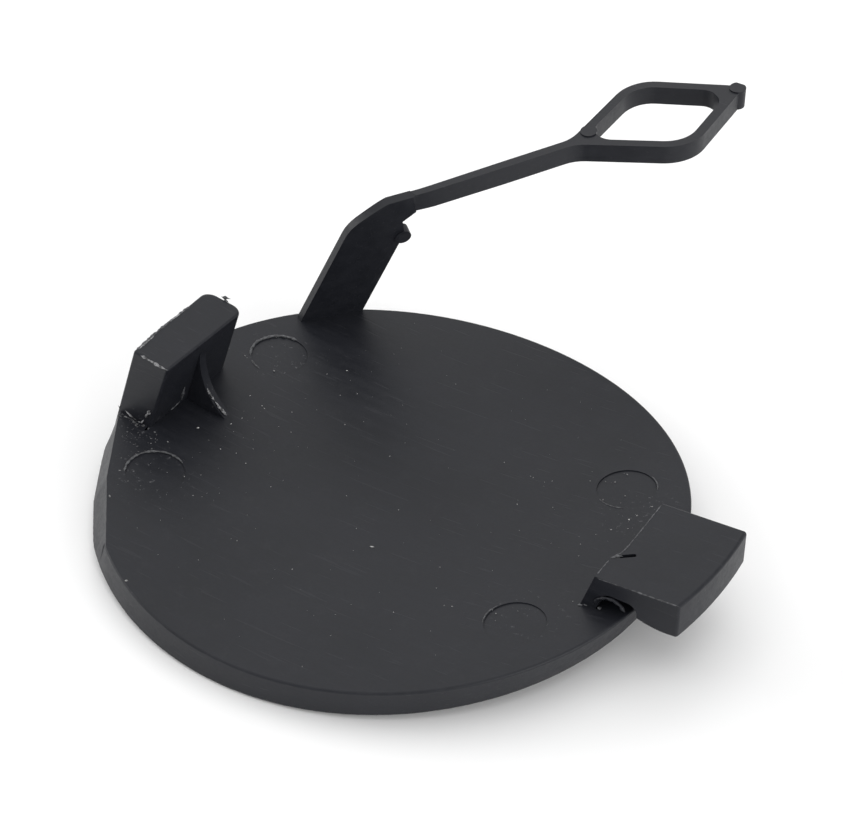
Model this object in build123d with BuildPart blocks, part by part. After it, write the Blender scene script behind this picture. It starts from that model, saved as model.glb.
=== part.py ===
from build123d import *
from math import asin, cos, radians, sin, sqrt, tan
import os

# Towing eye cover, one moulding, lying on its show face. Millimetres.
# Origin: middle of the show face. +X points to the tongue, +Z to the inner side.

# Draw direction of the mould: the rim and the strap post lean towards the tongue
draw_lean = 17.6

# Plate: round along the draw direction, and bent like the bumper skin about the Y direction
rim_radius = 33.35
plate_thickness = 4.1
show_face_radius = 228.0
show_edge_radius = 0.5
inner_edge_radius = 0.3

# Shallow round marks that the ejector pins leave in the inner face
mark_radius = 3.5
mark_depth = 0.12
mark_spacing_x = 48.6
mark_spacing_y = 26.0
mark_shift_x = 1.6

# Snap tab at the -X edge, which leans a little more than the rim
tab_lean = 18.8
tab_width = 14.2
tab_height = 10.0
tab_thickness = 4.55
tab_inset = 5.6
tab_top_slope = 11.0
tab_past_rim = 0.25
tab_edge_radius = 0.3
tab_corner_radius = 1.3

# Gusset behind the tab, whose edge is an arc through its waist point
gusset_thickness = 1.2
gusset_height = 8.0
gusset_foot = 6.6
gusset_waist_x = 3.4
gusset_waist_rise = 3.4

# Tongue at the +X edge, with the slot that takes the bumper skin
tongue_width = 14.6
tongue_inset = 4.6
tongue_rise = 4.9
tongue_top_slope = 3.5
tongue_leg = 1.0
tongue_end_radius = 43.8
tongue_end_shift_y = 3.0
tongue_end_thickness = 4.5
tongue_belly = 0.5
tongue_edge_radius = 0.4
skin_slot_height = 2.4
skin_slot_clearance = 0.5
skin_slot_radius = 1.2

# Step and nick on the inner wall of the tongue
step_width = 3.6
step_depth = 0.85
nick_length = 2.6
nick_width = 0.5
nick_depth = 0.7
nick_turn = 35.0

# Upright post of the strap
strap_thickness = 1.1
post_foot_x = -24.6
post_foot_y = 20.2
post_turn = 52.0
post_forward = 8.8
post_width = 8.5
post_height = 18.4
post_bend_radius = 6.0
post_shoulder_rise = 12.6
post_neck_rise = 14.8
post_neck_notch = 1.2

# Arm of the strap, level, which turns a little away from the post
arm_height = 2.25
arm_turn = 61.2
arm_overlap = 3.6
arm_turn_radius = 30.0
arm_length = 22.0

# Loop at the end of the arm
loop_length = 27.0
loop_half_width = 8.4
loop_rib = 1.1
loop_side_radius = 6.0
loop_eye_end_radius = 2.4
loop_root_radius = 5.0

# Round ejector pads on the strap: on the post, at the start of the loop and at its tip
pad_radius = 1.05
pad_proud = 0.15
post_pad_rise = 12.1
root_pad_along = 3.6
root_pad_aside = 1.0
tip_pad_along = 26.0

# Sizes that follow from those above
lean = tan(radians(draw_lean))
draw_axis = Vector(lean, 0, 1)
rim_reach = rim_radius / cos(radians(draw_lean))
inner_face_radius = show_face_radius - plate_thickness
sunk = plate_thickness / 2


def inner_face_z(x):
    """Height of the inner face at x."""
    return show_face_radius - sqrt(inner_face_radius**2 - x**2)


def rim_x(side, z):
    """Where the rim wall crosses the XZ plane at height z, on the +X or the -X side."""
    return side * rim_reach + lean * z


def leaning(x, z, rise, slant):
    """The point that lies a rise above (x, z) along a wall of that slant."""
    return (x + slant * rise, z + rise)


with BuildPart() as cover:
    # Plate: a cylinder along the draw direction, kept between the show face and the inner face
    rim_plane = Plane(origin=(0, 0, 0), x_dir=(1, 0, -lean), z_dir=(lean, 0, 1))
    with BuildSketch(rim_plane):
        Circle(rim_radius)
    extrude(amount=rim_radius, both=True)
    half_angle = 2 * asin(rim_reach / inner_face_radius)
    section_reach = inner_face_radius * sin(half_angle)
    section_rise = show_face_radius - inner_face_radius * cos(half_angle)
    show_reach = show_face_radius * sin(half_angle)
    show_rise = show_face_radius - show_face_radius * cos(half_angle)
    with BuildSketch(Plane.XZ):
        with BuildLine():
            show_arc = ThreePointArc((-show_reach, show_rise), (0, 0), (show_reach, show_rise))
            Line(show_arc @ 1, (section_reach, section_rise))
            ThreePointArc(
                (section_reach, section_rise),
                (0, plate_thickness),
                (-section_reach, section_rise),
            )
            Line((-section_reach, section_rise), show_arc @ 0)
        make_face()
    extrude(amount=2 * rim_radius, both=True, mode=Mode.INTERSECT)
    show_face = cover.faces().sort_by(SortBy.AREA)[-2:].sort_by(Axis.Z)[0]
    fillet(show_face.edges(), radius=show_edge_radius)
    inner_face = cover.faces().sort_by(SortBy.AREA)[-2:].sort_by(Axis.Z)[-1]
    fillet(inner_face.edges(), radius=inner_edge_radius)

    # Ejector pin marks, each square to the inner face where it lies
    for mark_x in (mark_shift_x - mark_spacing_x / 2, mark_shift_x + mark_spacing_x / 2):
        for mark_y in (-mark_spacing_y / 2, mark_spacing_y / 2):
            mark_spot = (mark_x, mark_y, inner_face_z(mark_x))
            mark_normal = (-mark_x, 0, show_face_radius - inner_face_z(mark_x))
            with BuildSketch(Plane(origin=mark_spot, z_dir=mark_normal).offset(-mark_depth)):
                Circle(mark_radius)
            extrude(amount=mark_depth * 2, mode=Mode.SUBTRACT)

    # Snap tab: a leaning block whose top slopes down towards the middle, cut round near the rim
    tab_slant = tan(radians(tab_lean))
    tab_inner_x = rim_x(-1, plate_thickness) + tab_inset
    tab_foot_z = inner_face_z(tab_inner_x)
    tab_inner_foot = leaning(tab_inner_x, tab_foot_z, -sunk, tab_slant)
    tab_inner_top = leaning(tab_inner_x, tab_foot_z, tab_height, tab_slant)
    tab_top_rise = tab_thickness * tan(radians(tab_top_slope))
    tab_outer_top = (tab_inner_top[0] - tab_thickness, tab_inner_top[1] + tab_top_rise)
    with BuildPart(mode=Mode.PRIVATE) as tab:
        with BuildSketch(Plane.XZ):
            with BuildLine():
                Polyline(
                    (tab_inner_foot[0] - tab_thickness, tab_inner_foot[1]),
                    tab_outer_top,
                    tab_inner_top,
                    tab_inner_foot,
                    close=True,
                )
            make_face()
        extrude(amount=tab_width / 2, both=True)
        far_corners = tab.faces().sort_by(Axis.Y)[-1].edges().sort_by(Axis.Z)[1:3]
        fillet(far_corners, radius=tab_corner_radius)
        near_corners = tab.faces().sort_by(Axis.Y)[0].edges().sort_by(Axis.Z)[1:3]
        top_edges = tab.faces().sort_by(Axis.Z)[-1].edges()
        fillet(near_corners + top_edges, radius=tab_edge_radius)
        with BuildSketch(rim_plane):
            Circle(rim_radius + tab_past_rim)
        extrude(amount=rim_radius, both=True, mode=Mode.INTERSECT)
    add(tab.part)

    # Gusset: a concave web in the middle of the tab's inner wall
    gusset_top = leaning(tab_inner_x, tab_foot_z, gusset_height, tab_slant)
    gusset_waist = (tab_inner_x + gusset_waist_x, tab_foot_z + gusset_waist_rise)
    gusset_toe_x = tab_inner_x + gusset_foot
    gusset_toe = (gusset_toe_x, inner_face_z(gusset_toe_x))
    with BuildSketch(Plane.XZ):
        with BuildLine():
            ThreePointArc(gusset_top, gusset_waist, gusset_toe)
            Polyline(gusset_toe, (gusset_toe_x, gusset_toe[1] - sunk), tab_inner_foot, gusset_top)
        make_face()
    extrude(amount=gusset_thickness / 2, both=True)

    # Tongue: a leg on the plate, a flat top and a thick end past the rim
    tongue_x = rim_x(1, plate_thickness) - tongue_inset
    leg_foot = (tongue_x, inner_face_z(tongue_x))
    leg_root = leaning(*leg_foot, -sunk, lean)
    leg_top = leaning(*leg_foot, tongue_rise, lean)
    end_x = rim_x(1, inner_face_z(rim_reach)) + skin_slot_clearance
    tip_top_z = leg_top[1] + (tongue_end_radius - leg_top[0]) * tan(radians(tongue_top_slope))
    tip_bottom_z = tip_top_z - tongue_end_thickness
    slot_x = tongue_x + tongue_leg
    slot_foot = (slot_x, inner_face_z(slot_x))
    slot_roof_z = inner_face_z(rim_reach) + skin_slot_height
    slot_corner = leaning(*slot_foot, slot_roof_z - slot_foot[1], lean)
    belly_point = ((end_x + tongue_end_radius) / 2, tip_bottom_z - tongue_belly)
    with BuildPart(mode=Mode.PRIVATE) as tongue:
        with BuildSketch(Plane.XZ) as tongue_side:
            with BuildLine():
                Polyline(
                    (end_x, tip_bottom_z),
                    (end_x, slot_roof_z),
                    slot_corner,
                    leaning(*slot_foot, -sunk, lean),
                    leg_root,
                    leg_top,
                    (tongue_end_radius, tip_top_z),
                    (tongue_end_radius, tip_bottom_z),
                )
                ThreePointArc((tongue_end_radius, tip_bottom_z), belly_point, (end_x, tip_bottom_z))
            make_face()
            slot_roof = tongue_side.vertices().sort_by_distance((slot_corner[0], slot_roof_z))[0]
            slot_mouth = tongue_side.vertices().sort_by_distance((end_x, slot_roof_z))[0]
            fillet([slot_roof, slot_mouth], radius=skin_slot_radius)
        extrude(amount=tongue_width / 2, both=True)

        # The end wall is an arc in plan, nearly concentric with the rim
        with BuildSketch(Plane.XY):
            with Locations((0, tongue_end_shift_y)):
                Circle(tongue_end_radius)
        extrude(amount=rim_radius, mode=Mode.INTERSECT)
        outer_edges = tongue.edges().filter_by_position(Axis.X, end_x + sunk / 4, tongue_end_radius)
        fillet(outer_edges, radius=tongue_edge_radius)

        # Step on the near part of the leg's inner wall
        with BuildSketch(Plane.XZ.offset(tongue_width / 2 - step_width)):
            with BuildLine():
                Polyline(
                    leg_root,
                    leg_top,
                    (leg_top[0] - step_depth, leg_top[1]),
                    (leg_root[0] - step_depth, leg_root[1]),
                    close=True,
                )
            make_face()
        extrude(amount=step_width)

        # Nick in the top edge beside the step
        nick_spot = (leg_top[0] - step_depth, step_width - tongue_width / 2)
        with BuildSketch(Plane.XY.offset(leg_top[1] - nick_depth)):
            with Locations(Location(nick_spot, nick_turn)):
                SlotCenterPoint((nick_length / 2, 0), (nick_length, 0), nick_width)
        extrude(amount=2 * nick_depth, mode=Mode.SUBTRACT)
    add(tongue.part)

    # Strap post: an upright plate that bends over into the arm, narrower at its neck
    post_foot_z = inner_face_z(post_foot_x)
    post_dir = Vector(cos(radians(post_turn)), sin(radians(post_turn)), 0)
    post_plane = Plane(
        origin=(post_foot_x, post_foot_y, post_foot_z),
        x_dir=post_dir,
        z_dir=post_dir.cross(draw_axis),
    )
    # Each millimetre of rise leans the post forward by post_lean and climbs its plane by post_climb
    post_axis = draw_axis + post_dir * tan(radians(post_forward))
    post_lean = post_axis.dot(post_plane.x_dir)
    post_climb = post_axis.dot(post_plane.y_dir)
    bend_corner = (post_lean * post_height, post_climb * post_height)
    under_arm = post_height - arm_height
    with BuildSketch(post_plane) as post_side:
        with BuildLine():
            Polyline(
                (-post_lean * sunk, -post_climb * sunk),
                (post_width - post_lean * sunk, -post_climb * sunk),
                (
                    post_width + post_lean * post_shoulder_rise,
                    post_climb * post_shoulder_rise,
                ),
                (
                    post_width + post_lean * post_neck_rise - post_neck_notch,
                    post_climb * post_neck_rise,
                ),
                (post_width + post_lean * under_arm, post_climb * under_arm),
                (post_width + post_lean * under_arm, post_climb * post_height),
                bend_corner,
                close=True,
            )
        make_face()
        fillet(post_side.vertices().sort_by_distance(bend_corner)[0], radius=post_bend_radius)
    extrude(amount=strap_thickness / 2, both=True)

    # Arm: a thin ribbon on edge, level with the top of the post
    arm_z = post_foot_z + under_arm
    arm_root = post_plane.origin + post_dir * post_width + post_axis * under_arm
    arm_dir = Vector(cos(radians(arm_turn)), sin(radians(arm_turn)), 0)
    arm_end = arm_root + arm_dir * arm_length
    with BuildSketch(Plane.XY.offset(arm_z)):
        with BuildLine() as arm_path:
            FilletPolyline(
                tuple(arm_root - post_dir * arm_overlap)[:2],
                tuple(arm_root)[:2],
                tuple(arm_end)[:2],
                radius=arm_turn_radius,
            )
        trace(arm_path.line, line_width=strap_thickness)
    extrude(amount=arm_height)

    # Loop: a rounded diamond with an open eye, flared where the arm runs into it
    loop_middle = arm_end + arm_dir * (loop_length / 2)
    loop_plane = Plane(origin=(loop_middle.X, loop_middle.Y, arm_z), x_dir=arm_dir)
    root_x = strap_thickness / 2 * loop_length / (2 * loop_half_width) - loop_length / 2
    with BuildSketch(loop_plane) as loop_plan:
        with BuildLine():
            Polyline(
                (-loop_length / 2, 0),
                (0, -loop_half_width),
                (loop_length / 2, 0),
                (0, loop_half_width),
                close=True,
            )
        make_face()
        side_corners = loop_plan.vertices().sort_by(Axis.Y)
        fillet([side_corners[0], side_corners[-1]], radius=loop_side_radius)
        offset(amount=-loop_rib, kind=Kind.INTERSECTION, mode=Mode.SUBTRACT)
        eye_corners = loop_plan.faces()[0].inner_wires()[0].vertices().sort_by(Axis.X)
        fillet([eye_corners[0], eye_corners[-1]], radius=loop_eye_end_radius)
        with Locations((root_x, 0)):
            Rectangle(2 * loop_root_radius, strap_thickness, align=(Align.MAX, Align.CENTER))
        root_near = loop_plan.vertices().sort_by_distance((root_x, -strap_thickness / 2))[0]
        root_far = loop_plan.vertices().sort_by_distance((root_x, strap_thickness / 2))[0]
        fillet([root_near, root_far], radius=loop_root_radius)
    extrude(amount=arm_height)

    # Round pads on the strap
    with BuildSketch(loop_plane):
        with Locations(
            (root_pad_along - loop_length / 2, root_pad_aside),
            (tip_pad_along - loop_length / 2, 0),
        ):
            Circle(pad_radius)
    extrude(amount=arm_height + pad_proud)
    with BuildSketch(post_plane):
        with Locations((post_width + post_lean * post_pad_rise, post_climb * post_pad_rise)):
            Circle(pad_radius)
    extrude(amount=strap_thickness / 2 + pad_proud, both=True)
cover.part.label = "tow_hook_cover"
os.makedirs("parts", exist_ok=True)
export_step(cover.part, "parts/tow_hook_cover.step")
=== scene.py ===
import math
import random

import bmesh
import bpy
from mathutils import Matrix, Vector
from mathutils.noise import noise


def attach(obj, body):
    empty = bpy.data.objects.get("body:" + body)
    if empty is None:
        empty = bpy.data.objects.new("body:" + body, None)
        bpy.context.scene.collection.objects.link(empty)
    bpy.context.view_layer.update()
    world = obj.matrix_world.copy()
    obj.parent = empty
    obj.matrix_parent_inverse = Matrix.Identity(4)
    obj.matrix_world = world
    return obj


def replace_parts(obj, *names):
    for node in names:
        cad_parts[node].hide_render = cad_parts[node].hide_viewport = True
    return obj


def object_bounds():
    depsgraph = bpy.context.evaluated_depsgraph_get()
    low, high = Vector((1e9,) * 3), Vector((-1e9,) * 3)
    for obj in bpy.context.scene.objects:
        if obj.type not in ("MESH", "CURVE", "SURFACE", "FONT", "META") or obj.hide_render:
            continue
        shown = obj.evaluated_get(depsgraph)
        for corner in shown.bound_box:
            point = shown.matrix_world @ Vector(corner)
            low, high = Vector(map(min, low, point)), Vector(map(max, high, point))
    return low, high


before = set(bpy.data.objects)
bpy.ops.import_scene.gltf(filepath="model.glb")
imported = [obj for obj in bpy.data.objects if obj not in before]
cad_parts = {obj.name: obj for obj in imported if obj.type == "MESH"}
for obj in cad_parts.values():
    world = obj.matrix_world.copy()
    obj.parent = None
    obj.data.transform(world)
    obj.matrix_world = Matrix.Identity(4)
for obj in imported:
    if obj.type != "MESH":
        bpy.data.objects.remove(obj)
cad_low, cad_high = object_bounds()
scene = bpy.context.scene
scene.view_settings.view_transform = "Standard"
MM = 0.001

# Camera at the photograph's angle
camera_data = bpy.data.cameras.new("photo_camera")
camera_data.lens = 104.63
camera_data.sensor_width = 36.0
camera_data.sensor_fit = "HORIZONTAL"
camera_data.clip_start = 0.01
camera_data.clip_end = 20.0
camera = bpy.data.objects.new("photo_camera", camera_data)
scene.collection.objects.link(camera)
eye = Vector((116.99, -181.23, 194.32)) * MM
aim = Vector((-4.66, 17.28, 0.0)) * MM
camera.location = eye
camera.rotation_euler = (aim - eye).to_track_quat("-Z", "Y").to_euler()
scene.camera = camera

# Sizes of the cover's plate and of its ejector marks, in millimetres
SHOW_RADIUS = 228.0
INNER_RADIUS = 223.9
MARK_RADIUS = 3.5
MARKS = ((-22.7, -13.0), (-22.7, 13.0), (25.9, -13.0), (25.9, 13.0))


def inner_z(x):
    """Height of the plate's inner face at x, in millimetres."""
    return SHOW_RADIUS - math.sqrt(INNER_RADIUS**2 - x**2)


# Node helpers
def add_node(tree, kind, **values):
    """A new node with its plain properties set."""
    made = tree.nodes.new(kind)
    for name, value in values.items():
        setattr(made, name, value)
    return made


def noise_of(tree, place, scale, detail=4.0, roughness=0.55):
    """Noise at that many cells per metre."""
    made = add_node(tree, "ShaderNodeTexNoise")
    made.inputs["Scale"].default_value = scale
    made.inputs["Detail"].default_value = detail
    made.inputs["Roughness"].default_value = roughness
    tree.links.new(place, made.inputs["Vector"])
    return made.outputs["Fac"]


def math_of(tree, operation, first, second, clamp=False):
    """A math node whose inputs are sockets or numbers."""
    made = add_node(tree, "ShaderNodeMath", operation=operation, use_clamp=clamp)
    for socket, value in zip(made.inputs, (first, second)):
        if isinstance(value, (int, float)):
            socket.default_value = value
        else:
            tree.links.new(value, socket)
    return made.outputs[0]


def range_of(tree, value, low, high, out_low=0.0, out_high=1.0):
    """The value stretched from one range to another, smoothly and clamped."""
    made = add_node(tree, "ShaderNodeMapRange", interpolation_type="SMOOTHSTEP")
    tree.links.new(value, made.inputs["Value"])
    for name, number in (
        ("From Min", low), ("From Max", high), ("To Min", out_low), ("To Max", out_high)
    ):
        made.inputs[name].default_value = number
    return made.outputs["Result"]


def turned(tree, place, turn, stretch):
    """Coordinates turned about Z and stretched."""
    made = add_node(tree, "ShaderNodeMapping")
    made.inputs["Rotation"].default_value = (0.0, 0.0, math.radians(turn))
    made.inputs["Scale"].default_value = stretch
    tree.links.new(place, made.inputs["Vector"])
    return made.outputs["Vector"]


def near_spot(tree, place, spot, reach):
    """1 round a spot given in millimetres, up to a quarter of the reach, and 0 from the reach on."""
    made = add_node(tree, "ShaderNodeVectorMath", operation="DISTANCE")
    tree.links.new(place, made.inputs[0])
    made.inputs[1].default_value = Vector(spot) * MM
    return range_of(tree, made.outputs["Value"], reach * MM, reach * MM / 4)


def mixed_colour(tree, amount, first, second):
    """One colour going over to another."""
    made = add_node(tree, "ShaderNodeMix", data_type="RGBA")
    tree.links.new(amount, made.inputs[0])
    for socket, value in ((made.inputs[6], first), (made.inputs[7], second)):
        if isinstance(value, tuple):
            socket.default_value = (*value, 1.0)
        else:
            tree.links.new(value, socket)
    return made.outputs[2]


def add_relief(tree, shader, height, strength, distance):
    """Fine relief on a shader's surface, that many metres deep."""
    bump = add_node(tree, "ShaderNodeBump")
    bump.inputs["Strength"].default_value = strength
    bump.inputs["Distance"].default_value = distance
    tree.links.new(height, bump.inputs["Height"])
    tree.links.new(bump.outputs["Normal"], shader.inputs["Normal"])


def new_material(name):
    """A material with nodes, its shader and its object coordinates."""
    made = bpy.data.materials.new(name)
    made.use_nodes = True
    tree = made.node_tree
    shader = tree.nodes["Principled BSDF"]
    place = add_node(tree, "ShaderNodeTexCoord").outputs["Object"]
    return made, tree, shader, place


def moulded_plastic():
    """Black moulded plastic: fine grain, flow streaks, fine scratches, pale flecks that are partly
    scuffs and partly painted highlight, and a film of dust.
    """
    made, tree, shader, place = new_material("moulded_black_plastic")
    cloud = noise_of(tree, place, 70.0, 3.0)
    grain = noise_of(tree, place, 2600.0, 3.0, 0.6)
    streak = noise_of(tree, turned(tree, place, 24.0, (0.10, 1.0, 1.0)), 900.0, 3.0, 0.6)
    scratch_across = noise_of(tree, turned(tree, place, -38.0, (0.04, 1.0, 1.0)), 2300.0, 1.0)
    scratch_along = noise_of(tree, turned(tree, place, 63.0, (0.05, 1.0, 1.0)), 2000.0, 1.0)
    scratch = math_of(
        tree, "MAXIMUM",
        range_of(tree, scratch_across, 0.69, 0.74),
        range_of(tree, scratch_along, 0.70, 0.75),
    )

    # Pale flecks: rubbed plastic at the foot of the tab, and painted highlights on the gusset and round
    # the marks
    rubbed_and_highlight = 0.0
    for spot, reach in (
        ((-30.0, -8.6, 5.6), 5.5),
        ((-22.9, 0.0, 7.2), 3.2),
        ((-22.7, 13.0, 5.2), 6.5),
        ((-22.7, -13.0, 5.2), 7.0),
        ((29.0, 10.0, 6.0), 7.0),
        ((26.5, -11.0, 5.6), 5.5),
    ):
        rubbed_and_highlight = math_of(tree, "MAXIMUM", near_spot(tree, place, spot, reach), rubbed_and_highlight)
    speckle = noise_of(tree, place, 1500.0, 5.0, 0.7)
    fleck = range_of(tree, speckle, 0.60, 0.72)
    scuff_and_highlight = math_of(tree, "MULTIPLY", rubbed_and_highlight, fleck, True)
    film = range_of(tree, noise_of(tree, place, 420.0, 6.0, 0.72), 0.50, 0.80)

    tone = math_of(tree, "ADD", range_of(tree, cloud, 0.3, 0.7, 0.0, 0.5),
                   range_of(tree, streak, 0.35, 0.65, 0.0, 0.5))
    colour = mixed_colour(tree, tone, (0.0088, 0.0096, 0.0128), (0.0130, 0.0139, 0.0180))
    colour = mixed_colour(tree, math_of(tree, "MULTIPLY", film, 0.07), colour, (0.09, 0.09, 0.095))
    colour = mixed_colour(tree, math_of(tree, "MULTIPLY", scratch, 0.05), colour, (0.10, 0.10, 0.11))
    # Pale flecks: partly rubbed plastic, partly painted highlight on the gusset and round the marks
    colour = mixed_colour(tree, math_of(tree, "MULTIPLY", scuff_and_highlight, 0.50), colour, (0.20, 0.20, 0.21))
    tree.links.new(colour, shader.inputs["Base Color"])

    rough = math_of(tree, "ADD", range_of(tree, streak, 0.3, 0.7, 0.40, 0.47),
                    range_of(tree, grain, 0.3, 0.7, -0.03, 0.03))
    rough = math_of(tree, "ADD", rough, math_of(tree, "MULTIPLY", scuff_and_highlight, 0.22))
    rough = math_of(tree, "ADD", rough, math_of(tree, "MULTIPLY", film, 0.06))
    tree.links.new(rough, shader.inputs["Roughness"])
    shader.inputs["IOR"].default_value = 1.46
    shader.inputs["Specular IOR Level"].default_value = 0.29

    height = math_of(tree, "ADD", math_of(tree, "MULTIPLY", grain, 0.5),
                     math_of(tree, "MULTIPLY", scratch, -0.55))
    height = math_of(tree, "ADD", height, math_of(tree, "MULTIPLY", scuff_and_highlight, 0.8))
    add_relief(tree, shader, height, 0.35, 0.00004)
    return made


def pale_patchy_plastic(name, dark, light):
    """Patchy plastic paler than the moulded skin: torn or rubbed-off plastic, crumbs and dust, and pale
    beads whose colour is a painted highlight.
    """
    made, tree, shader, place = new_material(name)
    patch = range_of(tree, noise_of(tree, place, 2400.0, 4.0, 0.65), 0.38, 0.66)
    tree.links.new(mixed_colour(tree, patch, dark, light), shader.inputs["Base Color"])
    tree.links.new(range_of(tree, patch, 0.0, 1.0, 0.5, 0.8), shader.inputs["Roughness"])
    add_relief(tree, shader, patch, 0.5, 0.00003)
    return made


plastic = moulded_plastic()
# Pale beads whose colour is a painted highlight on the tab's and gusset's edges
edge_highlight_look = pale_patchy_plastic("pale_patchy_plastic", (0.02, 0.02, 0.022), (0.32, 0.32, 0.33))
scraped = pale_patchy_plastic("scraped_plastic", (0.012, 0.012, 0.014), (0.14, 0.14, 0.145))
# Pale beads for flash and burrs, and for painted highlights on the mark, gusset and tongue edges
worn_edge_and_highlight_look = pale_patchy_plastic("worn_edge_and_highlight_plastic", (0.022, 0.023, 0.026), (0.11, 0.112, 0.118))
dust_look = pale_patchy_plastic("dust_and_chips", (0.10, 0.10, 0.10), (0.50, 0.50, 0.49))


def finish_piece(name, form, material):
    """Turns a bmesh into a piece of the cover."""
    data = bpy.data.meshes.new(name)
    form.normal_update()
    form.to_mesh(data)
    form.free()
    data.materials.append(material)
    data.shade_smooth()
    piece = bpy.data.objects.new(name, data)
    scene.collection.objects.link(piece)
    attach(piece, "root")
    return piece


# Forms of the moulding that differ a little from true, in millimetres and degrees

# How far off a face a corner may lie and still count as on it
NEAR_FACE, NEAR_WALL, NEAR_LEVEL = 0.05, 0.06, 0.1

# The tab and its gusset, and how far their walls move
TAB_WALL_X, TAB_FOOT_Z, TAB_SLANT = -28.09, 5.87, 0.3404
TAB_THICK, TAB_HIGH, TAB_HALF = 4.55, 10.0, 7.1
TAB_NEAR_MOVE, TAB_FAR_MOVE, TAB_OUTER_MOVE, TAB_FOOT_ASIDE = 0.35, 1.0, 0.5, 0.5
GUSSET_FOOT, GUSSET_HALF, GUSSET_MOVE = 6.6, 0.6, 0.85

# Flats on the rim, each with its direction and its distance from the middle
FLATS = ((209.1, 31.64), (216.2, 31.61))
FLAT_FLARE, FLAT_GAP, FLAT_END_X = 0.46, 0.2, -15.0
RIM_CUTS, RIM_CUT_FIRST, RIM_CUT_STEP = 24, 194.0, 1.83
RIM_INSIDE, RIM_HIGH = 26.0, (-12.0, -4.0, 7.5)

# The strap: its post, arm and loop. Pairs are distances along the arm from its root
STRAP_NEAR_Y, STRAP_LOW_Z = 14.0, 8.0
ARM_ROOT, ARM_TURN, ARM_LENGTH, ARM_BOTTOM = (-12.71, 28.87), 61.2, 22.0, 21.606
POST_FOOT, POST_TURN, POST_HALF, POST_LEAN = (-24.6, 20.2), 52.0, 0.55, 0.3172
POST_WALL_REACH, POST_TOP_END, POST_UPRIGHT = 0.12, 0.2, (-7.0, -1.0)
CAP_DROP, CAP_RAMP = 0.3, (2.0, 3.5)
BEND_DROP, BEND_LOW_Z, BEND_SPAN = 0.5, 19.5, (-9.8, -3.2)
LOOP_HALF, LOOP_LEAD, LOOP_FAR_SLIDE, LOOP_NEAR_SLIDE = 8.4, 0.5, 1.6, 0.4
RIBBON_MORE, RIBBON_THICK_RAMP = 0.1, (1.0, 7.0)
RIBBON_LOWER, RIBBON_LOW_RAMP = 0.25, (-0.4, 4.0)
SHARP_ANGLE = 26.0


def part_of(value, low, high):
    """How far a value is on its way from low to high, from 0 to 1."""
    return min(1.0, max(0.0, (value - low) / (high - low)))


def thicker_tab(x, y, z):
    """The tab's wall stands further in towards its far end, and the gusset goes with it."""
    wall = TAB_WALL_X + TAB_SLANT * (z - TAB_FOOT_Z)
    inward = part_of(x, wall - TAB_THICK, wall)
    far = part_of(y, -TAB_HALF, TAB_HALF)
    rise = part_of(z, TAB_FOOT_Z, TAB_FOOT_Z + TAB_HIGH)
    if abs(y) > TAB_HALF + NEAR_FACE or z < inner_z(x) - NEAR_FACE:
        return x, y, z
    if x < wall + NEAR_WALL:
        move = inward * (TAB_NEAR_MOVE + TAB_FAR_MOVE * far) + (1 - inward) * TAB_OUTER_MOVE * far * rise
        aside = TAB_FOOT_ASIDE * inward * far * (1 - rise)
    elif abs(y) < GUSSET_HALF + NEAR_FACE and x < TAB_WALL_X + GUSSET_FOOT + NEAR_FACE:
        move = GUSSET_MOVE * (1 - part_of(x, wall, TAB_WALL_X + GUSSET_FOOT))
        aside = 0.0
    else:
        return x, y, z
    return x + move, y + aside, z + (inner_z(x + move) - inner_z(x)) * (1 - rise)


def flattened_rim(x, y, z):
    """The rim beside the tab is cut by two flats, which flare outwards downwards."""
    if y > -TAB_HALF - FLAT_GAP or x > FLAT_END_X or z > inner_z(x) + NEAR_LEVEL:
        return x, y, z
    new_x, new_y = x, y
    for turn, reach in FLATS:
        across = (math.cos(math.radians(turn)), math.sin(math.radians(turn)))
        beyond = new_x * across[0] + new_y * across[1] - reach - FLAT_FLARE * (inner_z(x) - z)
        if beyond > 0:
            new_x -= beyond * across[0]
            new_y -= beyond * across[1]
    return new_x, new_y, z + inner_z(new_x) - inner_z(x)


def strap_place(x, y):
    """Distances along the arm and aside of it, from its root."""
    turn = math.radians(ARM_TURN)
    x, y = x - ARM_ROOT[0], y - ARM_ROOT[1]
    return x * math.cos(turn) + y * math.sin(turn), y * math.cos(turn) - x * math.sin(turn)


def post_depth(place):
    """Distance of a place from the middle of the post's thickness, square to its wall."""
    turn = math.radians(POST_TURN)
    foot = Vector((*POST_FOOT, inner_z(POST_FOOT[0])))
    normal = Vector((math.cos(turn), math.sin(turn), 0.0)).cross(Vector((POST_LEAN, 0.0, 1.0)))
    return abs((Vector(place) - foot).dot(normal.normalized()))


def skewed_strap(x, y, z):
    """The post's top turns upright into the arm, and the loop's far corner lies towards its tip."""
    along, aside = strap_place(x, y)
    if z < STRAP_LOW_Z or y < STRAP_NEAR_Y:
        return x, y, z
    if z > ARM_BOTTOM + NEAR_LEVEL and along < POST_TOP_END:
        if abs(post_depth((x, y, z)) - POST_HALF) < POST_WALL_REACH:
            x -= POST_LEAN * (z - ARM_BOTTOM) * part_of(along, *POST_UPRIGHT)
        else:
            z -= CAP_DROP * part_of(-along, *CAP_RAMP)
    if z > BEND_LOW_Z and along < 0:
        z -= BEND_DROP * math.sin(math.pi * part_of(along, *BEND_SPAN))
    if along > ARM_LENGTH - LOOP_LEAD:
        slide = (LOOP_FAR_SLIDE if aside > 0 else LOOP_NEAR_SLIDE) * aside / LOOP_HALF
        x += slide * math.cos(math.radians(ARM_TURN))
        y += slide * math.sin(math.radians(ARM_TURN))
    if z < ARM_BOTTOM + NEAR_LEVEL:
        z -= RIBBON_LOWER * part_of(along, *RIBBON_LOW_RAMP)
    return x, y, z


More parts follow.
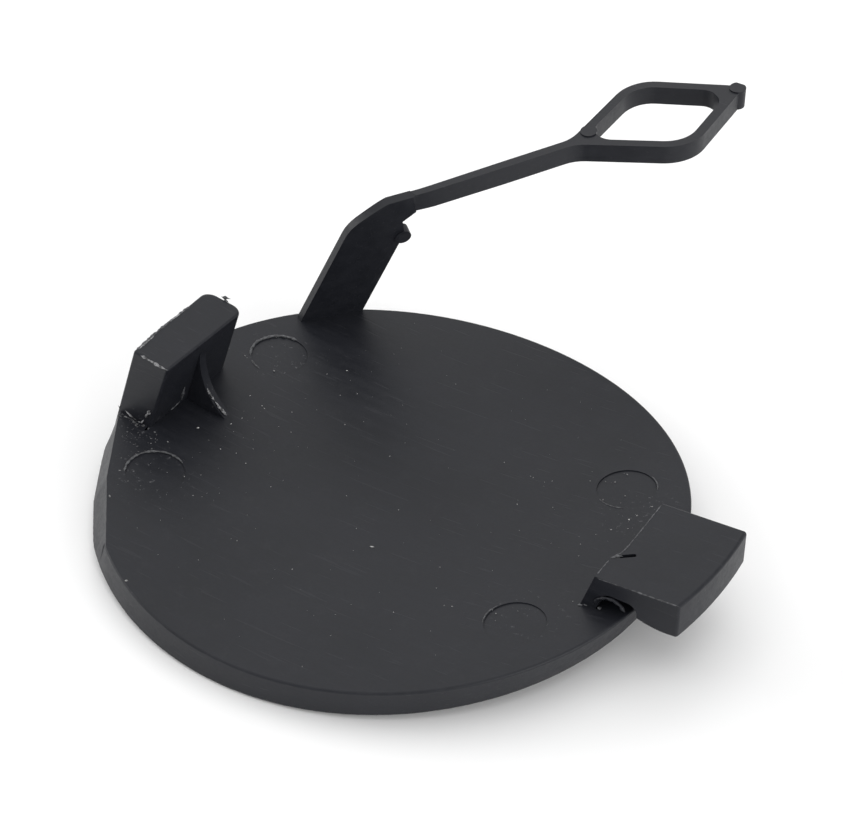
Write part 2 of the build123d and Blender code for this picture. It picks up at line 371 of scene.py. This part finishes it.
def cut_rim(form):
    """Radial cuts through the rim beside the tab, which give the flats corners to move."""
    for step in range(RIM_CUTS):
        turn = math.radians(RIM_CUT_FIRST + RIM_CUT_STEP * step)
        near = {}
        for face in form.faces:
            middle = face.calc_center_median()
            below = all(value < high for value, high in zip(middle, RIM_HIGH))
            if middle.xy.length > RIM_INSIDE and below:
                near.update(dict.fromkeys((face, *face.edges, *face.verts)))
        bmesh.ops.bisect_plane(form, geom=list(near), dist=0.001, plane_co=(0, 0, 0),
                               plane_no=(-math.sin(turn), math.cos(turn), 0))


def thicken_ribbon(form):
    """The strap's ribbon is a little thicker than the solid's: its upright walls move outwards."""
    moves = {}
    for vertex in form.verts:
        along = strap_place(vertex.co.x, vertex.co.y)[0]
        walls = [face.normal for face in vertex.link_faces if abs(face.normal.z) < 0.5]
        if vertex.co.z > ARM_BOTTOM - NEAR_LEVEL and along > RIBBON_THICK_RAMP[0] and walls:
            way = sum(walls, Vector())
            way.z = 0.0

            # Where walls face both ways, no side is the outer one
            if way.length > 0.3:
                way.normalize()
                fit = max(0.5, min(way.dot(wall) for wall in walls))
                moves[vertex] = way * (RIBBON_MORE / fit * part_of(along, *RIBBON_THICK_RAMP))
    for vertex, move in moves.items():
        vertex.co += move


def moulded_skin():
    """The whole cover as moulded, made from the CAD solid's own mesh."""
    form = bmesh.new()
    form.from_mesh(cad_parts["tow_hook_cover"].data)
    form.transform(Matrix.Scale(1 / MM, 4))
    bmesh.ops.remove_doubles(form, verts=form.verts, dist=0.002)
    cut_rim(form)
    form.normal_update()
    thicken_ribbon(form)
    for vertex in form.verts:
        place = skewed_strap(*flattened_rim(*thicker_tab(*vertex.co)))
        vertex.co = [min(high / MM, max(low / MM, value))
                     for value, low, high in zip(place, cad_low, cad_high)]
    form.transform(Matrix.Scale(MM, 4))
    form.normal_update()
    for edge in form.edges:
        edge.smooth = edge.calc_face_angle(0.0) < math.radians(SHARP_ANGLE)
    skin = finish_piece("moulded_cover", form, plastic)
    soft = skin.modifiers.new("even_shading", "WEIGHTED_NORMAL")
    soft.keep_sharp = True
    soft.weight = 100
    depsgraph = bpy.context.evaluated_depsgraph_get()
    shaded = bpy.data.meshes.new_from_object(skin.evaluated_get(depsgraph))
    skin.modifiers.clear()
    skin.data = shaded
    return skin


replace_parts(moulded_skin(), "tow_hook_cover")


def add_flake(form, chance, spot, size, tilt=0.5):
    """One small irregular flake, sunk a little into what it lies on. Millimetres."""
    made = bmesh.ops.create_icosphere(form, subdivisions=2, radius=1.0)["verts"]
    turn = Matrix.Rotation(chance.uniform(0, math.tau), 3, "Z")
    lean = Matrix.Rotation(chance.uniform(-tilt, tilt), 3, "X")
    stretch = Vector((size * chance.uniform(0.6, 1.5), size * chance.uniform(0.4, 0.9),
                      size * chance.uniform(0.25, 0.5)))
    shift = Vector((chance.uniform(0, 9), chance.uniform(0, 9), chance.uniform(0, 9)))
    for vertex in made:
        rough = 1.0 + 0.45 * noise(vertex.co * 1.6 + shift)
        local = Vector(a * b for a, b in zip(vertex.co * rough, stretch))
        vertex.co = (Vector(spot) + turn @ (lean @ local)) * MM


BEAD_STEP, BEAD_SIDES, BEAD_PINCH_ROWS = 0.14, 7, 4

# A direction that no strand runs along
BEAD_UP = Vector((0.13, 0.27, 0.95))


def add_bead(form, points, thick, shift=0.0, rough=0.5):
    """One uneven strand through points in millimetres, pinched at both ends: flash, or a bead whose
    colour is a painted highlight.
    """
    points = [Vector(point) for point in points]
    spots = [points[0]]
    for first, second in zip(points, points[1:]):
        steps = max(1, round((second - first).length / BEAD_STEP))
        spots += [first.lerp(second, step / steps) for step in range(1, steps + 1)]
    rows = []
    for number, spot in enumerate(spots):
        before, after = spots[max(0, number - 1)], spots[min(len(spots) - 1, number + 1)]
        way = (after - before).normalized()
        side = way.cross(BEAD_UP).normalized()
        up = side.cross(way)
        pinch = min(1.0, (number + 0.4) / BEAD_PINCH_ROWS, (len(spots) - number - 0.6) / BEAD_PINCH_ROWS)
        wobble = noise(Vector((number * 0.31, shift, 1.7)))
        radius = thick * pinch * max(0.25, 1.0 + rough * 1.8 * wobble)
        sway = side * thick * rough * noise(Vector((number * 0.23, shift, 7.3)))
        rows.append([
            form.verts.new((spot + sway + radius * (
                side * math.cos(math.tau * corner / BEAD_SIDES)
                + up * math.sin(math.tau * corner / BEAD_SIDES)
            )) * MM)
            for corner in range(BEAD_SIDES)
        ])
    for here, there in zip(rows, rows[1:]):
        for corner in range(BEAD_SIDES):
            beyond = (corner + 1) % BEAD_SIDES
            form.faces.new((here[corner], there[corner], there[beyond], here[beyond]))
    form.faces.new(rows[0])
    form.faces.new(reversed(rows[-1]))


# Dust on the inner face, off the tab and thicker round two places: by the tab and by the tongue
DUST_COUNT, DUST_REACH, DUST_LOW_X = 210, 31.0, -30.0
DUST_OFF_TAB_X, DUST_OFF_TAB_Y = -21.0, 8.0
DUST_SPREAD, DUST_CROWDS = 0.10, ((-22.0, -6.0, 15.0, 0.7), (26.0, 8.0, 12.0, 0.45))
chance = random.Random(11)
form = bmesh.new()
count = 0
while count < DUST_COUNT:
    x, y = chance.uniform(DUST_LOW_X, DUST_REACH), chance.uniform(-DUST_REACH, DUST_REACH)
    if math.hypot(x, y) > DUST_REACH or (x < DUST_OFF_TAB_X and abs(y) < DUST_OFF_TAB_Y):
        continue
    crowd = DUST_SPREAD
    for crowd_x, crowd_y, reach, most in DUST_CROWDS:
        crowd += most * max(0.0, 1 - math.hypot(x - crowd_x, y - crowd_y) / reach)
    if chance.random() > crowd:
        continue
    size = 0.03 + 0.06 * chance.random() ** 3
    add_flake(form, chance, (x, y, inner_z(x) + size * 0.1), size)
    count += 1
finish_piece("dust_specks", form, dust_look)

# Single chips that stand out
form = bmesh.new()
for (x, y), size in (
    ((-23.16, -3.77), 0.16), ((-19.22, 4.01), 0.13), ((-21.41, 4.64), 0.10),
    ((-15.05, -29.0), 0.19), ((-24.6, -19.3), 0.14), ((-26.2, -15.2), 0.11),
    ((5.17, -9.54), 0.19), ((-20.41, -0.84), 0.09), ((-21.63, 10.17), 0.12),
    ((-26.03, 10.29), 0.10), ((28.82, 8.04), 0.14), ((29.31, 9.06), 0.16),
    ((30.07, 11.2), 0.12), ((24.41, 10.03), 0.13), ((27.8, 5.59), 0.12),
    ((-18.9, -5.2), 0.10), ((-24.6, -7.9), 0.10), ((-15.5, 2.1), 0.08),
):
    add_flake(form, chance, (x, y, inner_z(x) + size * 0.1), size)
finish_piece("chips", form, dust_look)

# Raised flash on parts of the edges of the ejector marks, from one direction to another; its paler
# colour is a painted highlight, crescents where the rounded edges catch the light
FLASH_RADIUS, FLASH_STEPS, FLASH_RISE = MARK_RADIUS + 0.1, 24, 0.01
form = bmesh.new()
for (mark_x, mark_y), first, last, thick in (
    (MARKS[0], 62, 214, 0.13),
    (MARKS[1], 84, 218, 0.16),
    (MARKS[1], 232, 262, 0.12),
    (MARKS[2], 150, 206, 0.07),
    (MARKS[3], 236, 292, 0.07),
    (MARKS[3], 20, 64, 0.09),
):
    points = []
    for step in range(FLASH_STEPS + 1):
        angle = math.radians(first + (last - first) * step / FLASH_STEPS)
        x = mark_x + FLASH_RADIUS * math.cos(angle)
        points.append((x, mark_y + FLASH_RADIUS * math.sin(angle), inner_z(x) + FLASH_RISE))
    add_bead(form, points, thick, first * 0.1, 0.35)
finish_piece("mark_flash_and_highlight", form, worn_edge_and_highlight_look)

# Crumbs at the near foot of the tab, and finer ones on the plate below it, inside the rim's flat
FOOT_CRUMBS, PLATE_CRUMBS, PLATE_CRUMBS_Y = 34, 90, -8.2
FLAT_WAY_X, FLAT_WAY_Y, FLAT_SIDE = 0.87, 0.49, -30.9
form = bmesh.new()
chance = random.Random(5)
for _ in range(FOOT_CRUMBS):
    x = -30.0 + chance.gauss(0.0, 1.3)
    y = -7.35 - abs(chance.gauss(0.0, 0.45))
    size = 0.07 + 0.14 * chance.random() ** 2
    add_flake(form, chance, (x, y, inner_z(x) + size * 0.2), size, 1.0)
for _ in range(PLATE_CRUMBS):
    x, y = -28.6 + chance.gauss(0.0, 1.9), -10.0 + chance.gauss(0.0, 1.6)
    size = 0.04 + 0.09 * chance.random() ** 2
    if y < PLATE_CRUMBS_Y and FLAT_WAY_X * x + FLAT_WAY_Y * y > FLAT_SIDE:
        add_flake(form, chance, (x, y, inner_z(x) + size * 0.1), size, 0.6)
finish_piece("tab_foot_crumbs", form, scraped)

# Painted highlights: pale beads at the tab's foot, along its top edges and on the gusset, where the
# rounded edges catch the light
form = bmesh.new()
for number, (points, thick) in enumerate((
    (((-27.5, -7.12, 8.5), (-27.9, -7.14, 7.8), (-28.4, -7.12, 7.0)), 0.20),
    (((-28.5, -7.2, 6.7), (-28.9, -7.3, 6.1), (-29.5, -7.35, 6.1)), 0.11),
    (((-29.5, -7.3, 6.15), (-30.4, -7.2, 6.35), (-31.3, -7.2, 6.9)), 0.09),
    (((-32.1, -7.1, 6.5), (-32.35, -7.1, 7.2)), 0.10),
    (((-28.3, -7.05, 16.52), (-27.0, -7.08, 16.30), (-25.6, -7.08, 16.02),
      (-24.5, -7.02, 15.80)), 0.13),
    (((-28.92, -6.5, 16.7), (-28.95, -5.0, 16.72), (-28.9, -3.4, 16.7)), 0.08),
    (((-28.95, -0.6, 16.74), (-28.85, 0.8, 16.74), (-28.75, 2.6, 16.72)), 0.06),
    (((-23.0, -0.3, 7.0), (-22.4, -0.25, 6.3), (-21.9, -0.2, 5.8), (-21.5, -0.2, 5.4)), 0.20),
    (((-24.1, -0.4, 8.8), (-23.5, -0.4, 7.8), (-23.0, -0.35, 7.1)), 0.15),
)):
    add_bead(form, points, thick, number * 3.1, 0.6)
finish_piece("painted_edge_highlights", form, edge_highlight_look)

# Curled lip in the mouth of the tongue's slot
form = bmesh.new()
add_bead(form, ((32.5, -7.35, 7.3), (32.95, -7.38, 8.2), (33.9, -7.4, 8.85), (34.9, -7.4, 8.95),
                (35.7, -7.4, 8.6), (36.3, -7.4, 7.9)), 0.2, 2.6, 0.3)
finish_piece("slot_lip", form, plastic)

# Thin flash and burrs on the edges of tab, gusset and tongue, and crumbs at the mouth of the slot. The
# pale beads on the tab's inner wall, the gusset and the tongue's top edges are painted highlights
form = bmesh.new()
for number, (points, thick) in enumerate((
    (((-29.08, -6.8, 16.66), (-29.1, -3.6, 16.68), (-28.97, 0.2, 16.67), (-28.72, 3.6, 16.64)), 0.15),
    (((-26.1, 6.95, 15.75), (-26.15, 7.1, 16.15), (-26.2, 7.2, 16.5)), 0.19),
    (((-26.7, 7.1, 16.55), (-26.2, 7.2, 16.55), (-25.5, 7.4, 16.5)), 0.17),
    (((-26.2, 7.15, 16.4), (-25.7, 7.2, 15.95)), 0.13),
    (((-24.8, -0.45, 10.4), (-24.5, -0.45, 9.6), (-24.1, -0.42, 8.8)), 0.12),
    (((-26.3, -1.69, 8.86), (-26.62, -1.7, 7.9), (-27.12, -1.6, 6.4)), 0.17),
    (((-27.2, -1.7, 6.3), (-27.35, -2.6, 6.0), (-27.5, -3.6, 5.95)), 0.07),
    (((32.45, -7.1, 11.2), (32.45, -5.0, 11.2), (32.5, -3.8, 11.2)), 0.07),
    (((32.6, -3.3, 11.2), (33.1, -2.5, 11.25), (33.25, -1.0, 11.25), (33.28, 3.0, 11.25),
      (33.25, 6.8, 11.25)), 0.07),
    (((32.4, -3.9, 11.22), (33.0, -3.2, 11.26), (33.5, -2.9, 11.27)), 0.13),
    (((32.6, -7.26, 11.1), (36.0, -7.27, 11.36), (39.5, -7.27, 11.58), (42.6, -7.25, 11.78)), 0.06),
)):
    add_bead(form, points, thick, number * 2.3, 0.45)
add_flake(form, chance, (33.16, -7.25, 6.85), 0.34, 0.3)
add_flake(form, chance, (30.9, -7.35, 6.3), 0.20, 0.3)
add_flake(form, chance, (31.5, -7.3, 6.5), 0.16, 0.3)
finish_piece("edge_flash_and_highlights", form, worn_edge_and_highlight_look)

# Floor and soft studio light
floor_data = bpy.data.meshes.new("floor")
floor_form = bmesh.new()
bmesh.ops.create_grid(floor_form, x_segments=1, y_segments=1, size=3.0)
floor_form.to_mesh(floor_data)
floor_form.free()
floor = bpy.data.objects.new("floor", floor_data)
floor.location = (0.0, 0.0, -0.00002)
scene.collection.objects.link(floor)
floor_look, _, floor_shader, _ = new_material("pale_floor")
floor_shader.inputs["Base Color"].default_value = (0.9, 0.9, 0.9, 1.0)
floor_shader.inputs["Roughness"].default_value = 0.8
floor_data.materials.append(floor_look)

world = bpy.data.worlds.new("studio")
world.use_nodes = True
background = world.node_tree.nodes["Background"]
background.inputs["Color"].default_value = (1.0, 1.0, 1.0, 1.0)
background.inputs["Strength"].default_value = 0.72
scene.world = world


def soft_light(name, spot, width, height, power):
    """A rectangular softbox that looks at the cover and stays out of the picture."""
    data = bpy.data.lights.new(name, "AREA")
    data.shape = "RECTANGLE"
    data.size, data.size_y, data.energy = width, height, power
    made = bpy.data.objects.new(name, data)
    made.location = spot
    made.rotation_euler = (Vector() - Vector(spot)).to_track_quat("-Z", "Y").to_euler()
    made.visible_camera = False
    scene.collection.objects.link(made)


soft_light("overhead", (0.0, 0.0, 0.75), 0.9, 0.9, 2.0)
soft_light("back_box", (-0.52, 0.85, 0.83), 1.3, 1.0, 2.2)
soft_light("left_box", (-0.75, -0.10, 0.30), 0.5, 0.4, 2.2)
soft_light("right_box", (0.84, -0.24, 0.26), 0.8, 0.5, 4.0)
